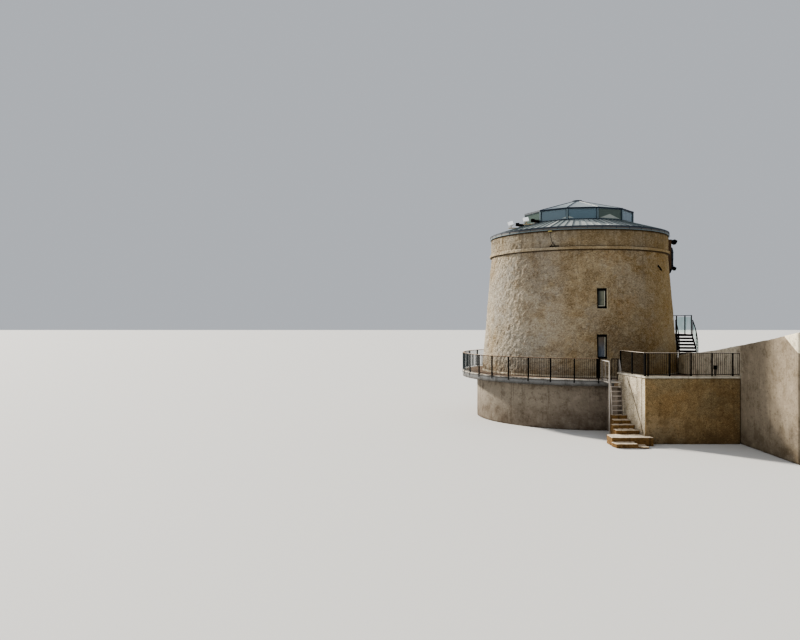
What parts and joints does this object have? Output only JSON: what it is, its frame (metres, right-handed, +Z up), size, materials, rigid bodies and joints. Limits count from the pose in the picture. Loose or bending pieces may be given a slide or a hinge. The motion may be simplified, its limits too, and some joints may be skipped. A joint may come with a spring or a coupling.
{
  "type": "martello tower",
  "caption": "Round coastal gun tower of rendered masonry with a glazed roof lantern, a railed deck around its foot, an entrance stair, and a terrace with steps and a gate.",
  "frame": {"origin": "on the tower axis, at ground level, on the underside of the round plinth", "axes": "+Z up; -Y is the side with the two windows; +X is the side with the entrance door and its stair"},
  "size_m": [14.288, 22.344, 13.44],
  "materials": {
    "black_metal": "black paint",
    "brown_render": "brown weathered render",
    "concrete": "weathered concrete",
    "dark_metal": "blue-grey paint",
    "dark_stone": "dark weathered stone",
    "door_wood": "dark painted boards",
    "galvanised": "galvanised steel",
    "grey_render": "grey render",
    "lamp_housing": "pale grey enamel",
    "render": "rough lime render, weathered",
    "step_stone": "worn stone and concrete",
    "tinted_glass": "tinted glass",
    "zinc": "standing-seam sheet metal"
  },
  "bodies": {
    "tower": {"boundary_wall": "grey_render", "concrete_steps": "step_stone", "deck_railing_back_left": "black_metal", "deck_railing_back_right": "black_metal", "deck_railing_left": "black_metal", "deck_railing_right": "black_metal", "deck_slab": "concrete", "door_frame": "black_metal", "entrance_door": "door_wood", "first_floor": "concrete", "floodlights": "lamp_housing", "front_coping": "concrete", "front_wall": "brown_render", "gate_hinges": "black_metal", "gate_platform": "galvanised", "gate_side_panel": "black_metal", "ground_floor": "concrete", "gun_platform": "concrete", "gutter": "dark_metal", "landing_guard": "black_metal", "lantern_eave": "dark_metal", "lantern_glass": "tinted_glass", "lantern_posts": "dark_metal", "lantern_roof": "zinc", "lantern_sill": "dark_metal", "left_coping": "concrete", "left_wall": "brown_render", "lower_landing": "step_stone", "machicolation_corbels": "dark_stone", "machicolation_lamps": "black_metal", "machicolation_wall": "dark_stone", "parapet_wall": "render", "platform_guard": "galvanised", "plinth": "concrete", "right_handrail": "galvanised", "roof_cap": "dark_metal", "roof_skirt": "zinc", "stair_columns": "black_metal", "stair_glass": "tinted_glass", "stair_guard": "black_metal", "stair_landing": "black_metal", "stair_stringers": "black_metal", "stair_treads": "black_metal", "steel_steps": "galvanised", "string_course": "render", "terrace_fill": "concrete", "terrace_railing_front": "black_metal", "terrace_railing_left": "black_metal", "terrace_slab": "concrete", "wall_back": "render", "wall_back_left": "render", "wall_back_right": "render", "wall_front": "render", "wall_front_left": "render", "wall_front_right": "render", "wall_left": "render", "wall_right": "render", "window_frames": "black_metal", "window_panes": "tinted_glass"},
    "gate": {"gate_leaf": "black_metal"}
  },
  "joints": [
    {"name": "gate_hinge", "type": "hinge", "parent": "tower", "child": "gate", "pos_m": [-0.615, -7.115, 3.4], "axis": [0, 0, 1], "range_deg": [-90, 0]}
  ]
}
